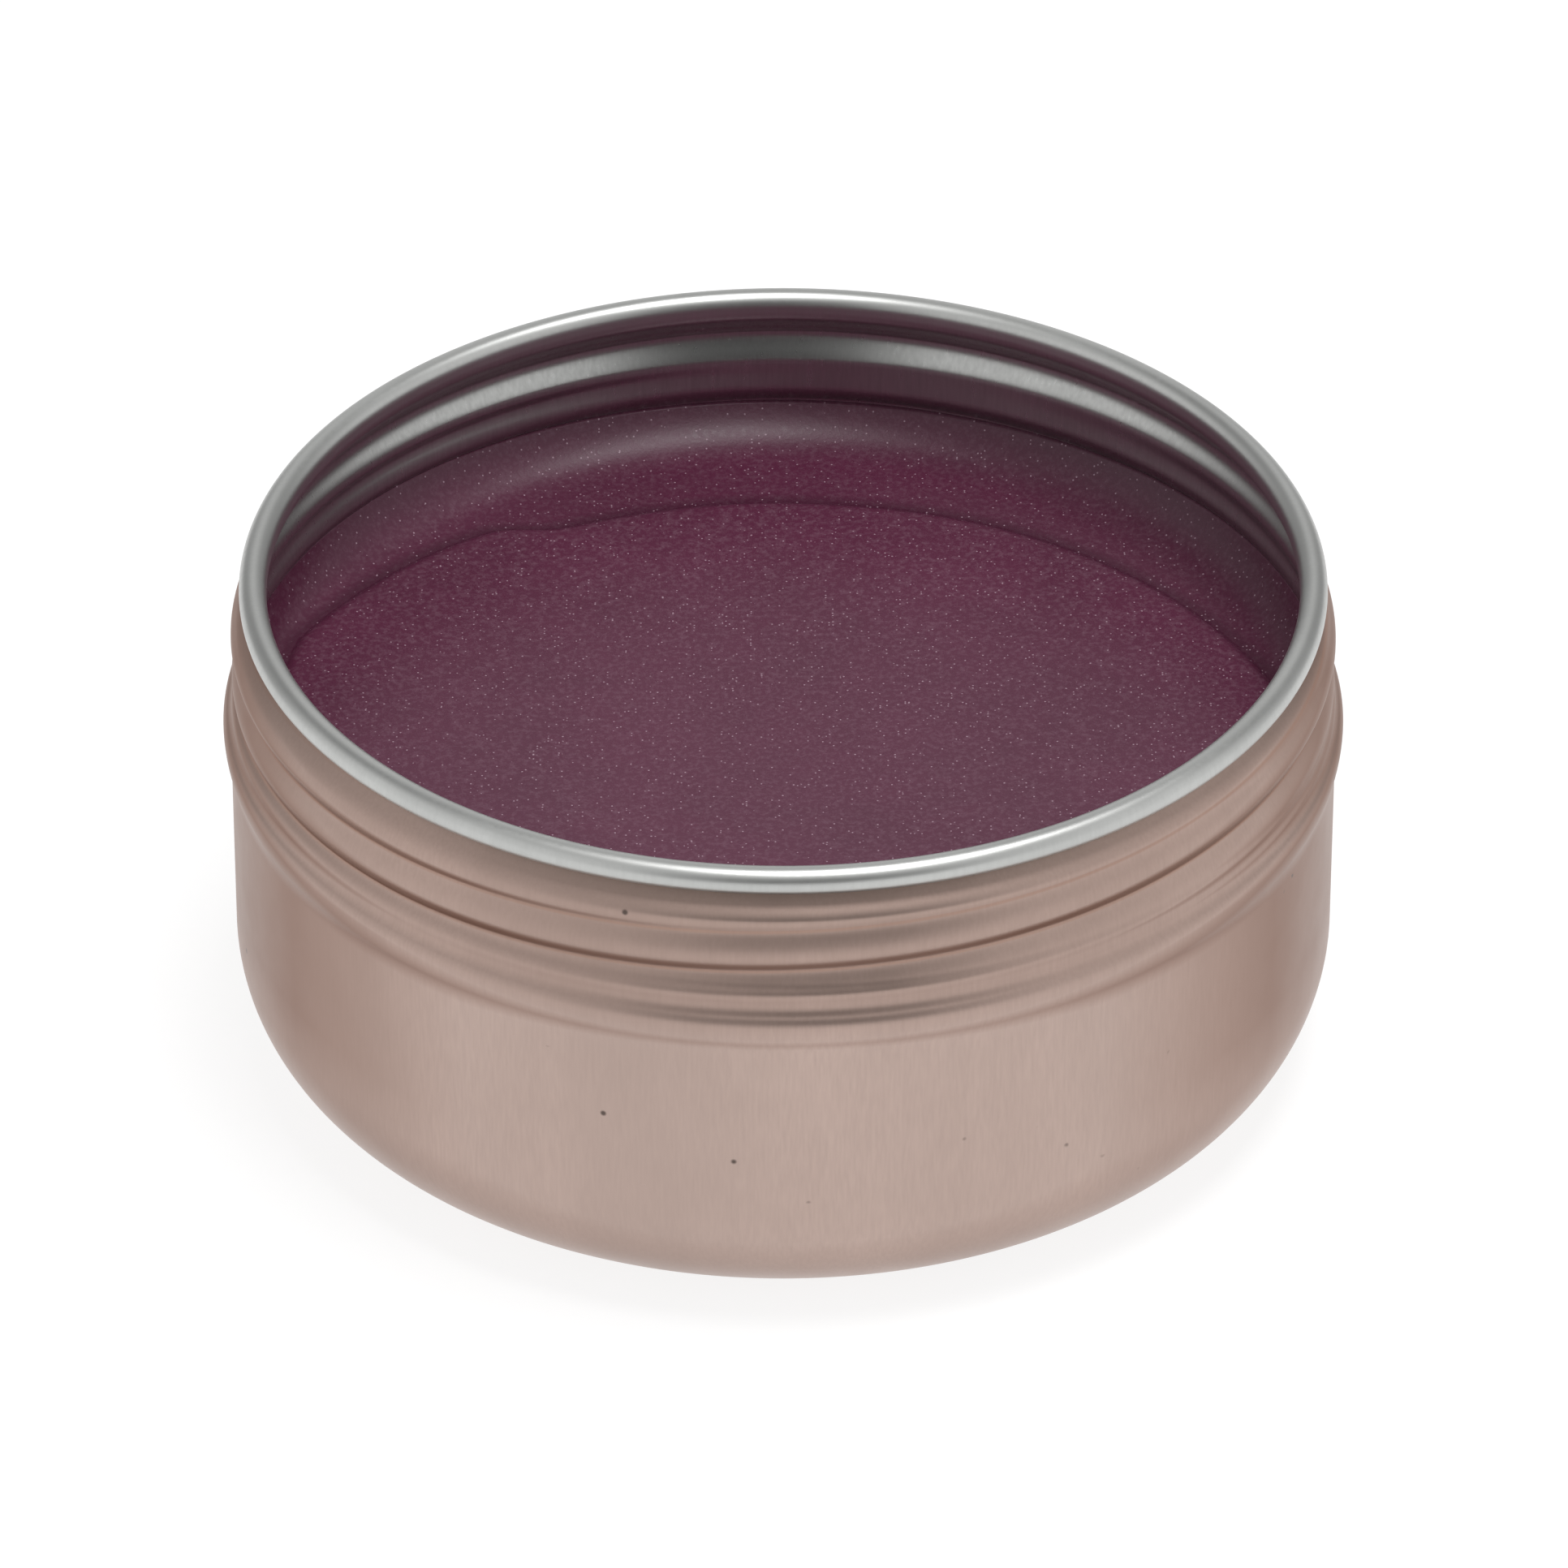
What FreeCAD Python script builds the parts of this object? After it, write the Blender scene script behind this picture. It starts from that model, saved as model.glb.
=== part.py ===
import FreeCAD, Part
import math
import os

# An open screw-top tin of shoe polish, drawn from one aluminium blank, with its cake of wax inside.
# Millimetres, +Z up, origin at the centre of the face that the tin stands on.

# ---- tin, overall ----
HEIGHT = 37.1            # base to the top of the curled rim
BODY_D = 76.7            # outside of the straight wall
SHEET = 0.4              # aluminium sheet
BASE_RADIUS = 9.4        # outside radius between wall and base

# ---- curled rim ----
RIM_STEP = 0.85          # the rim's outside radius is this much less than the body's
CURL_D = 1.9             # outside diameter of the curled edge
CURL_TURN = 298.0        # degrees that the sheet turns round in the curl

# ---- threaded neck ----
NECK_H = 10.0            # top of the rim to the foot of the neck
NECK_STEP = 0.75         # the thread's root radius is this much less than the body's
SHOULDER_DROP = 1.35     # where the straight mouth starts to widen, below the rim's top
SHOULDER_H = 2.3         # height over which it widens to the neck
NECK_FOOT_STEP = 0.65    # the neck's foot is this much wider in radius than the thread's root
NECK_FOOT_H = 1.5        # height over which the foot widens
THREAD_PITCH = 3.18      # rise of the rolled thread in one turn
THREAD_DEPTH = 0.5       # root to crest, at the front
THREAD_DEPTH_BACK = 0.5  # share by which the thread is deeper at the back
THREAD_ROOT_DROP = 7.85  # rim's top to the root line at the front of the tin, before the lean
THREAD_CREST = 0.41      # crest's place above the root at the front, as a share of the pitch
THREAD_CREST_BACK = 0.27 # how much higher that share is at the back
THREAD_VALLEY = 1.4      # 2 rounds the thread's root, 1 makes it a sharp fold
THREAD_START = 75.0      # degrees about the axis to the middle of the thread's start
THREAD_START_W = 75.0    # degrees on each side over which its first turn grows
THREAD_SKEW = 0.65       # how far the thread's plane leans over the neck, at the wall
THREAD_LEAN = 21.0       # degrees before the front at which the lean is nought and rising
THREAD_FADE_LOW = 1.1    # height over which the thread runs out above the neck's foot
THREAD_FADE_TOP = 2.6    # height over which it runs out at the shoulder, at the front
THREAD_FADE_BACK = 0.5   # the same at the back, as a share of the front's

# ---- bead under the neck ----
BEAD_PROUD = 0.5         # stands out from the straight wall
BEAD_UPPER_H = 1.6       # neck's foot down to the bead's crest
BEAD_LOWER_H = 2.8       # bead's crest down to the straight wall

# ---- base ----
STAND_W = 2.4            # width of the flat ring that the tin stands on
PANEL_RISE = 0.8         # the base panel is raised by this
PANEL_STEP_W = 1.4       # width of the step up to the panel

# ---- polish ----
WAX_EDGE_DROP = 10.3     # rim's top to where the wax meets the wall
WAX_RING_W = 5.0         # width of the sloping ring that climbs to the wall
WAX_RING_SINK = 2.0      # the ring's inner edge is this much below its edge at the wall
WAX_STEP_W = 1.0         # width of the step down to the sunken middle
WAX_STEP_H = 0.3         # depth of that step

# ---- how finely the thread's surface is laid out ----
THREAD_COLUMNS = 40
THREAD_ROWS = 34

AXIS = FreeCAD.Vector(0, 0, 1)
CENTRE = FreeCAD.Vector(0, 0, 0)

body_r = BODY_D / 2
rim_r = body_r - RIM_STEP
curl_r = CURL_D / 2
curl_centre = (rim_r - curl_r, HEIGHT - curl_r)
mouth_out_r = rim_r - CURL_D + SHEET
neck_r = body_r - NECK_STEP
neck_foot_r = neck_r + NECK_FOOT_STEP
bead_r = body_r + BEAD_PROUD
neck_foot_z = HEIGHT - NECK_H
shoulder_top_z = HEIGHT - SHOULDER_DROP
shoulder_foot_z = shoulder_top_z - SHOULDER_H
bead_z = neck_foot_z - BEAD_UPPER_H
wall_top_z = bead_z - BEAD_LOWER_H
stand_out_r = body_r - BASE_RADIUS
stand_in_r = stand_out_r - STAND_W
panel_r = stand_in_r - PANEL_STEP_W


def at(r, z, angle=0.0):
    """Point at radius r and height z, on the half plane at this angle."""
    return FreeCAD.Vector(r * math.cos(angle), r * math.sin(angle), z)


def line(a, b):
    """Straight edge of a section, from (r, z) to (r, z)."""
    return Part.makeLine(at(*a), at(*b))


def arc(centre, radius, start, end):
    """Round edge of a section about (r, z), from one angle in degrees to another."""
    points = []
    for share in (0.0, 0.5, 1.0):
        angle = math.radians(start + share * (end - start))
        points.append(at(centre[0] + radius * math.cos(angle), centre[1] + radius * math.sin(angle)))
    return Part.Arc(*points).toShape()


def wall_step(upper, lower, inward):
    """Two tangent arcs that carry an upright wall from (r, z) down to another radius and height.

    inward moves the curve that far towards the axis, about the same centres.
    """
    across = lower[0] - upper[0]
    down = upper[1] - lower[1]
    radius = (across * across + down * down) / (4 * abs(across))
    turn = math.degrees(2 * math.atan2(abs(across), down))
    side = 1 if across > 0 else -1
    first_centre = (upper[0] + side * radius, upper[1])
    second_centre = (lower[0] - side * radius, lower[1])
    if side > 0:
        first = arc(first_centre, radius + inward, 180, 180 + turn)
        second = arc(second_centre, radius - inward, turn, 0)
    else:
        first = arc(first_centre, radius - inward, 0, -turn)
        second = arc(second_centre, radius + inward, 180 - turn, 180)
    return [first, second]


def floor_step(outer, inner, up):
    """Two tangent arcs that carry a level floor from (r, z) in to a higher or lower one.

    up moves the curve that far upwards, about the same centres.
    """
    across = outer[0] - inner[0]
    rise = abs(inner[1] - outer[1])
    radius = (across * across + rise * rise) / (4 * rise)
    turn = math.degrees(2 * math.atan2(rise, across))
    if inner[1] > outer[1]:
        first = arc((outer[0], outer[1] + radius), radius - up, -90, -90 - turn)
        second = arc((inner[0], inner[1] - radius), radius + up, 90 - turn, 90)
    else:
        first = arc((outer[0], outer[1] - radius), radius + up, 90, 90 + turn)
        second = arc((inner[0], inner[1] + radius), radius - up, -90 + turn, -90)
    return [first, second]


def lower_section(inward):
    """Section of the tin's wall from the neck's foot to the axis, moved inward by the given amount."""
    edges = wall_step((neck_foot_r, neck_foot_z), (bead_r, bead_z), inward)
    edges += wall_step((bead_r, bead_z), (body_r, wall_top_z), inward)
    edges.append(line((body_r - inward, wall_top_z), (body_r - inward, BASE_RADIUS)))
    edges.append(arc((stand_out_r, BASE_RADIUS), BASE_RADIUS - inward, 0, -90))
    edges.append(line((stand_out_r, inward), (stand_in_r, inward)))
    edges += floor_step((stand_in_r, 0), (panel_r, PANEL_RISE), inward)
    edges.append(line((panel_r, PANEL_RISE + inward), (0, PANEL_RISE + inward)))
    return edges


def curl_section():
    """Section of the rim: up the mouth's outside, round the curl and down the mouth's inside."""
    turned_to = 180 - CURL_TURN
    end = math.radians(turned_to)
    hollow_r = curl_r - SHEET
    mouth_in_r = mouth_out_r - SHEET
    tip_inner = (curl_centre[0] + hollow_r * math.cos(end), curl_centre[1] + hollow_r * math.sin(end))
    tip_outer = (curl_centre[0] + curl_r * math.cos(end), curl_centre[1] + curl_r * math.sin(end))
    return [
        line((mouth_out_r, shoulder_top_z), (mouth_out_r, curl_centre[1])),
        arc(curl_centre, hollow_r, 180, turned_to),
        line(tip_inner, tip_outer),
        arc(curl_centre, curl_r, turned_to, 180),
        line((mouth_in_r, curl_centre[1]), (mouth_in_r, shoulder_top_z)),
    ]


def ease(share):
    """Smooth step from 0 to 1."""
    share = min(max(share, 0.0), 1.0)
    return share * share * (3 - 2 * share)


def thread_root(angle):
    """Height of the thread's root line at this angle about the axis, on the turn through the front."""
    from_front = angle + math.pi / 2
    lean = THREAD_SKEW * math.sin(from_front + math.radians(THREAD_LEAN))
    return HEIGHT - THREAD_ROOT_DROP + THREAD_PITCH * from_front / (2 * math.pi) + lean


def thread_height(angle, z):
    """How far the rolled thread stands out here, as a share of its depth at the front.

    The thread is fuller at the back, where its first turn grows out of the neck. It runs out at the
    neck's foot and at the shoulder.
    """
    angle = angle % (2 * math.pi)
    back = 0.5 + 0.5 * math.sin(angle)
    turn = (z - thread_root(angle)) / THREAD_PITCH
    share = turn - math.floor(turn)
    crest = THREAD_CREST + THREAD_CREST_BACK * back ** 2
    if share < crest:
        phase = share / (2 * crest)
    else:
        phase = 0.5 + (share - crest) / (2 * (1 - crest))
    rise = math.sin(math.pi * phase) ** THREAD_VALLEY
    if turn < 0:
        rise *= 1 - ease(1 - abs(math.degrees(angle) - THREAD_START) / THREAD_START_W)
    low = ease((z - neck_foot_z) / THREAD_FADE_LOW)
    fade_top = THREAD_FADE_TOP * (1 - (1 - THREAD_FADE_BACK) * back)
    top = ease((shoulder_foot_z + SHOULDER_H / 2 - z) / fade_top)
    return rise * low * top * (1 + THREAD_DEPTH_BACK * back ** 2)


def neck_radius(angle, z):
    """Outside radius of the neck: it widens at the shoulder and the foot, and carries the rolled thread."""
    widened = ease((shoulder_top_z - z) / SHOULDER_H)
    foot = ease((neck_foot_z + NECK_FOOT_H - z) / NECK_FOOT_H)
    plain = mouth_out_r + (neck_r - mouth_out_r) * widened + NECK_FOOT_STEP * foot
    return plain + THREAD_DEPTH * thread_height(angle, z)


def neck_point(angle, z, inward):
    """Point of the neck's wall, moved square to its section by the given amount."""
    step = 0.01
    above = min(z + step, shoulder_top_z)
    below = max(z - step, neck_foot_z)
    slope = (neck_radius(angle, above) - neck_radius(angle, below)) / (above - below)
    if above - below < 1.5 * step:
        slope = 0.0
    length = math.hypot(1, slope)
    return at(neck_radius(angle, z) - inward / length, z + inward * slope / length, angle)


def neck_face(inward):
    """The neck's wall as one smooth surface, closed round the axis.

    It is laid over a net of points, to the third degree upwards and to the fifth round the axis,
    where the net is widened by the amount that such a surface falls inside its points. So its end
    rows are true circles. Its seam lies on the +X side, in line with those of the turned faces.
    """
    turn = 2 * math.pi / THREAD_COLUMNS
    widen = 120 / (66 + 52 * math.cos(turn) + 2 * math.cos(2 * turn))
    row_h = (shoulder_top_z - neck_foot_z) / THREAD_ROWS
    steps = [0, 1 / 3] + list(range(1, THREAD_ROWS)) + [THREAD_ROWS - 1 / 3, THREAD_ROWS]
    net = []
    for step in steps:
        level = []
        for column in range(THREAD_COLUMNS):
            point = neck_point((column - 2) * turn, neck_foot_z + row_h * step, inward)
            level.append(FreeCAD.Vector(point.x * widen, point.y * widen, point.z))
        net.append(level)
    row_knots = list(range(THREAD_ROWS + 1))
    row_mults = [4] + [1] * (THREAD_ROWS - 1) + [4]
    column_knots = list(range(THREAD_COLUMNS + 1))
    column_mults = [1] * (THREAD_COLUMNS + 1)
    surface = Part.BSplineSurface()
    surface.buildFromPolesMultsKnots(net, row_mults, column_mults, row_knots, column_knots, False, True, 3, 5)
    return surface.toShape()


def turned(edges):
    """Faces made by turning a section's edges about the axis."""
    faces = []
    for edge in edges:
        faces += edge.revolve(CENTRE, AXIS, 360).Faces
    return faces


def closed_solid(faces):
    """One solid from faces that meet all round."""
    sewn = Part.Compound(faces).copy()
    sewn.sewShape(0.005)
    solid = Part.Solid(sewn.Shells[0])
    if solid.Volume < 0:
        solid.reverse()
    return solid


def make_tin_body():
    """The cup: curled rim, threaded neck, bead, wall and base, all one sheet."""
    faces = turned(lower_section(0)) + turned(lower_section(SHEET)) + turned(curl_section())
    faces += [neck_face(0), neck_face(SHEET)]
    return closed_solid(faces)


def make_polish():
    """The wax cake: it was poured in hot, so it fills the cup, and its middle sank as it set."""
    lid_z = neck_foot_z
    lid = line((0, lid_z), (neck_foot_r - SHEET, lid_z))
    axis_line = line((0, PANEL_RISE + SHEET), (0, lid_z))
    cup_wire = Part.Wire([lid] + lower_section(SHEET) + [axis_line])
    cup_fill = Part.Face(cup_wire).revolve(CENTRE, AXIS, 360)
    edge_z = HEIGHT - WAX_EDGE_DROP
    ring_in_r = neck_r - WAX_RING_W
    ring_in_z = edge_z - WAX_RING_SINK
    middle_r = ring_in_r - WAX_STEP_W
    middle_z = ring_in_z - WAX_STEP_H
    above = lid_z + WAX_RING_W
    outline = [
        line((0, above), (body_r, above)),
        line((body_r, above), (body_r, edge_z)),
        line((body_r, edge_z), (neck_r, edge_z)),
        line((neck_r, edge_z), (ring_in_r, ring_in_z)),
    ]
    outline += floor_step((ring_in_r, ring_in_z), (middle_r, middle_z), 0)
    outline += [line((middle_r, middle_z), (0, middle_z)), line((0, middle_z), (0, above))]
    room = Part.Face(Part.Wire(outline)).revolve(CENTRE, AXIS, 360)
    return cup_fill.cut(room)


def export(node, shape):
    """Write one piece."""
    shape.exportStep("parts/" + node + ".step")
    print(node, "valid", shape.isValid(), "solids", len(shape.Solids), "volume", round(shape.Volume, 1))


os.makedirs("parts", exist_ok=True)
export("tin_body", make_tin_body())
export("polish", make_polish())
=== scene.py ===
import math
from functools import partial

import bpy
import numpy as np
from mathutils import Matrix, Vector


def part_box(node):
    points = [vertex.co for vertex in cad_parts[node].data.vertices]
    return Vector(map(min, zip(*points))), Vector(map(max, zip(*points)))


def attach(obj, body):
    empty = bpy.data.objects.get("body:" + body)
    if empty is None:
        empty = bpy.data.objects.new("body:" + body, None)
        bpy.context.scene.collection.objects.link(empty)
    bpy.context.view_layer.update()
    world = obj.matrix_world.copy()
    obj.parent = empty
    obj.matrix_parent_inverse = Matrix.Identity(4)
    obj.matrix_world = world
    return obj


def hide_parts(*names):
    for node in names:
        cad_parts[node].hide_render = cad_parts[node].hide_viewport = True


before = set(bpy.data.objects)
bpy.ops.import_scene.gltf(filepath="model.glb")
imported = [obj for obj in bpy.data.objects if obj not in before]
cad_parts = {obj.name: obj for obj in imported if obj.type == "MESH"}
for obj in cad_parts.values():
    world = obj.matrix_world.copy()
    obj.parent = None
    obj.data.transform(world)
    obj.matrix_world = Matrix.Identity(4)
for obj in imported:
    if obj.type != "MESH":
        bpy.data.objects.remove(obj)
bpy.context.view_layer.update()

# An open screw-top tin of wax shoe polish: one drawn aluminium cup, rose gold outside and bare inside,
# and the plum wax that was poured into it. Lengths in the panel are metres; MM turns millimetres to metres.

bl_info = {
    "name": "Shoe polish tin",
    "version": (1, 0, 0),
    "blender": (4, 5, 0),
    "location": "3D View > Sidebar > Polish Tin",
    "description": "Builds an open screw-top tin of wax polish, with its finishes, floor, lights and camera",
    "category": "Object",
}

MM = 0.001
TIN_LOW, TIN_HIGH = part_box("tin_body")
TIN_HEIGHT = TIN_HIGH[2] - TIN_LOW[2]
BEAD_RADIUS = (TIN_HIGH[0] - TIN_LOW[0]) / 2


def length(name, description, default):
    """A length that a user can change, in metres."""
    return bpy.props.FloatProperty(
        name=name, description=description, default=default, unit="LENGTH", precision=5, min=0.0
    )


def angle(name, description, degrees):
    """An angle that a user can change, given here in degrees."""
    return bpy.props.FloatProperty(
        name=name, description=description, default=math.radians(degrees), subtype="ANGLE"
    )


def share(name, description, default):
    """A plain ratio that a user can change."""
    return bpy.props.FloatProperty(name=name, description=description, default=default, min=0.0)


def hex_linear(code):
    """Linear red, green and blue from an sRGB hex value such as #b58a7a."""
    parts = [int(code[i:i + 2], 16) / 255 for i in (1, 3, 5)]
    return tuple(c / 12.92 if c <= 0.04045 else ((c + 0.055) / 1.055) ** 2.4 for c in parts)


def colour(name, description, code):
    """A colour that a user can change, given here as an sRGB hex value."""
    return bpy.props.FloatVectorProperty(
        name=name, description=description, default=hex_linear(code), subtype="COLOR", size=3, min=0, max=1
    )


class TinSizes(bpy.types.PropertyGroup):
    """Sizes of the drawn cup."""

    height: length("Height", "Base to the top of the curled rim", TIN_HEIGHT)
    bead_radius: length("Bead radius", "Widest radius, at the bead under the neck", BEAD_RADIUS)
    bead_proud: length("Bead proud", "How far the bead stands out from the straight wall", 0.5 * MM)
    sheet: length("Sheet", "Thickness of the aluminium", 0.4 * MM)
    base_radius: length("Base radius", "Outside radius between wall and base", 9.4 * MM)
    rim_step: length("Rim step", "The rim's outside radius is this much less than the wall's", 0.85 * MM)
    curl: length("Curl", "Outside diameter of the curled edge", 1.9 * MM)
    curl_turn: angle("Curl turn", "How far the sheet turns round in the curl", 298)
    neck_height: length("Neck height", "Top of the rim to the foot of the neck", 10.0 * MM)
    neck_step: length("Neck step", "The thread's root radius is this much less than the wall's", 0.75 * MM)
    shoulder_drop: length("Shoulder drop", "Rim's top to where the mouth starts to widen", 1.35 * MM)
    shoulder_height: length("Shoulder height", "Height over which the mouth widens", 2.3 * MM)
    foot_step: length("Foot step", "The neck's foot is this much wider than the thread's root", 0.65 * MM)
    foot_height: length("Foot height", "Height over which the neck's foot widens", 1.5 * MM)
    pitch: length("Thread pitch", "Rise of the rolled thread in one turn", 3.18 * MM)
    depth: length("Thread depth", "Root to crest, at the front", 0.5 * MM)
    depth_back: share("Depth at the back", "Share by which the thread is deeper at the back", 0.5)
    valley: share("Valley shape", "2 rounds the thread's root, 1 makes it a sharp fold", 1.4)
    root_drop: length("Thread root drop", "Rim's top to the root line at the front", 7.85 * MM)
    crest_share: share("Crest place", "Crest's place above the root, as a share of the pitch", 0.41)
    crest_back: share("Crest shift", "How much higher that share is at the back", 0.27)
    skew: length("Thread skew", "How far the thread's plane leans, at the wall", 0.65 * MM)
    lean: angle("Thread lean", "From the front to where the thread's plane leans most", 21)
    start: angle("Start", "Middle of the thread's start, round from the right side", 75)
    start_width: angle("Start width", "Angle on each side over which the thread's first turn grows", 75)
    fade_low: length("Lower run-out", "Height over which the thread runs out at the neck's foot", 1.1 * MM)
    fade_top: length("Upper run-out", "Height over which it runs out at the shoulder, at the front", 2.6 * MM)
    fade_back: share("Run-out at the back", "Upper run-out at the back, as a share of the front's", 0.5)
    bead_upper: length("Bead, upper part", "Neck's foot down to the bead's crest", 1.6 * MM)
    bead_lower: length("Bead, lower part", "Bead's crest down to the straight wall", 2.8 * MM)
    stand_width: length("Standing ring", "Width of the flat ring that the tin stands on", 2.4 * MM)
    panel_rise: length("Panel rise", "The base panel is raised by this", 0.8 * MM)
    panel_step: length("Panel step", "Width of the step up to the panel", 1.4 * MM)


class WaxSizes(bpy.types.PropertyGroup):
    """Sizes of the wax cake."""

    edge_drop: length("Edge drop", "Rim's top to the highest line of wax on the wall", 10.0 * MM)
    climb: length("Climb", "How far the wax climbs the wall above the ring", 2.6 * MM)
    reach: length("Climb's reach", "Distance from the wall over which it climbs", 4.9 * MM)
    crease_radius: length("Crease radius", "Centre to the crease round the middle, at the back", 28.0 * MM)
    crease_flare: length("Crease flare", "How much further out the crease runs at the sides", 5.8 * MM)
    notch_angle: angle("Notch angle", "Where the crease jumps outwards, round from the right side", 127)
    notch: length("Notch", "How far it jumps", 2.4 * MM)
    step: length("Step", "Height of the middle's edge above the crease", 0.4 * MM)
    dimple: length("Dimple", "Depth of the small dimple near the middle", 0.1 * MM)


class Finishes(bpy.types.PropertyGroup):
    """Colours of the tin, the wax and the floor."""

    rose_gold: colour("Rose gold", "Anodised outside of the cup", "#b7a299")
    bare: colour("Bare aluminium", "Inside of the cup and curled rim", "#bfc0be")
    wax: colour("Wax", "Body colour of the polish", "#541f39")
    fleck: colour("Pearl fleck", "Mica in the polish", "#c2a6b4")
    # The thread fold colour is painted shade, for thin lines in the thread's root crease.
    fold: colour("Thread fold", "Thin lines at the thread's root", "#96694f")
    floor: colour("Floor", "Studio floor", "#f4f4f4")


# ---------------------------------------------------------------- shapes

COLUMNS = 256
NECK_ROWS = 66
CORNER_ROWS = 14
INSIDE_ROWS = 8
ROSE_GOLD_SLOT = 0
BARE_SLOT = 1


def angles():
    """The angles of the columns that every round piece shares."""
    return np.arange(COLUMNS) * 2 * math.pi / COLUMNS


def upright_step(upper, lower, inward, count):
    """Section that carries an upright wall from (r, z) down to another radius and height.

    Two equal arcs meet half way. Their radius is (a*a + d*d) / 4a, where a is the move outwards and
    d the drop. inward moves both arcs towards the axis about their own centres.
    """
    across = lower[0] - upper[0]
    down = upper[1] - lower[1]
    side = 1 if across > 0 else -1
    radius = (across * across + down * down) / (4 * abs(across))
    turn = 2 * math.atan2(abs(across), down)
    a = np.linspace(0, turn, count)
    first = radius + side * inward
    second = radius - side * inward
    r = np.concatenate([
        upper[0] + side * (radius - first * np.cos(a)),
        (lower[0] - side * (radius - second * np.cos(a)))[::-1][1:],
    ])
    z = np.concatenate([upper[1] - first * np.sin(a), (lower[1] + second * np.sin(a))[::-1][1:]])
    return r, z


def level_step(outer, inner, up, count):
    """Section that carries a level floor from (r, z) in to a higher one, by the same two arcs laid flat."""
    across = outer[0] - inner[0]
    rise = inner[1] - outer[1]
    radius = (across * across + rise * rise) / (4 * rise)
    turn = 2 * math.atan2(rise, across)
    a = np.linspace(0, turn, count)
    first = radius - up
    second = radius + up
    r = np.concatenate([outer[0] - first * np.sin(a), (inner[0] + second * np.sin(a))[::-1][1:]])
    z = np.concatenate([
        outer[1] + radius - first * np.cos(a),
        (inner[1] - radius + second * np.cos(a))[::-1][1:],
    ])
    return r, z


def round_part(centre, radius, start, end, count):
    """Section of an arc about (r, z), from one angle to another, both in degrees."""
    a = np.radians(np.linspace(start, end, count))
    return centre[0] + radius * np.cos(a), centre[1] + radius * np.sin(a)


def ease(share):
    """Smooth step: 3s*s - 2s*s*s between 0 and 1, flat outside."""
    share = np.clip(share, 0, 1)
    return share * share * (3 - 2 * share)


class TinForm:
    """The cup's shape: radii, heights and the rolled thread, worked out from its sizes."""

    def __init__(self, sizes):
        self.s = sizes
        self.wall = sizes.bead_radius - sizes.bead_proud
        self.rim = self.wall - sizes.rim_step
        self.curl_r = sizes.curl / 2
        self.curl_centre = (self.rim - self.curl_r, sizes.height - self.curl_r)
        self.mouth_out = self.rim - sizes.curl + sizes.sheet
        self.neck = self.wall - sizes.neck_step
        self.foot = self.neck + sizes.foot_step
        self.foot_z = sizes.height - sizes.neck_height
        self.shoulder_top = sizes.height - sizes.shoulder_drop
        self.shoulder_foot = self.shoulder_top - sizes.shoulder_height
        self.bead_z = self.foot_z - sizes.bead_upper
        self.wall_top = self.bead_z - sizes.bead_lower
        self.stand_out = self.wall - sizes.base_radius
        self.stand_in = self.stand_out - sizes.stand_width
        self.panel = self.stand_in - sizes.panel_step

    def turns(self, theta, z):
        """Number of thread turns from the root line at the front up to this point.

        The root line rises by the pitch in a turn, plus a sine of one wave round the neck for the lean.
        """
        front = theta + math.pi / 2
        root = self.s.height - self.s.root_drop + self.s.pitch * front / (2 * math.pi)
        root = root + self.s.skew * np.sin(front + self.s.lean)
        return (z - root) / self.s.pitch

    def thread(self, theta, z):
        """How far the thread stands out, as a share of its depth at the front.

        It is a power of a half sine whose crest is nearer its lower root. It is fuller at the back, its
        first turn grows out of the neck there, and it runs out at the neck's foot and at the shoulder.
        """
        s = self.s
        back = 0.5 + 0.5 * np.sin(theta)
        turn = self.turns(theta, z)
        share = turn - np.floor(turn)
        crest = s.crest_share + s.crest_back * back ** 2
        below = share / (2 * crest)
        above = 0.5 + (share - crest) / (2 * (1 - crest))
        rise = np.sin(np.pi * np.where(share < crest, below, above)) ** s.valley
        started = 1 - ease(1 - np.abs(theta - s.start) / s.start_width)
        first = np.where(turn < 0, started, 1.0)
        low = ease((z - self.foot_z) / s.fade_low)
        fade_top = s.fade_top * (1 - (1 - s.fade_back) * back)
        top = ease((self.shoulder_foot + s.shoulder_height / 2 - z) / fade_top)
        return rise * first * low * top * (1 + s.depth_back * back ** 2)

    def neck_radius(self, theta, z):
        """Outside radius of the neck: mouth, smooth widening at shoulder and foot, and the rolled thread."""
        widened = ease((self.shoulder_top - z) / self.s.shoulder_height)
        foot = self.s.foot_step * ease((self.foot_z + self.s.foot_height - z) / self.s.foot_height)
        plain = self.mouth_out + (self.neck - self.mouth_out) * widened + foot
        return plain + self.s.depth * self.thread(theta, z)

    def neck_wall(self, theta, z, inward):
        """Neck's points, moved square to the section by the given amount."""
        step = 0.005 * MM
        slope = (self.neck_radius(theta, z + step) - self.neck_radius(theta, z - step)) / (2 * step)
        size = np.sqrt(1 + slope * slope)
        return self.neck_radius(theta, z) - inward / size, z + inward * slope / size

    def cup_radius(self, theta, z):
        """Inside radius of the cup near the wax line, found by walking down the inner section."""
        r, level = upright_step((self.foot, self.foot_z), (self.s.bead_radius, self.bead_z), self.s.sheet, 24)
        below = np.interp(-z, -level, r)
        above = self.neck_radius(theta, z) - self.s.sheet
        return np.where(z > self.foot_z, above, below)


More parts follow.
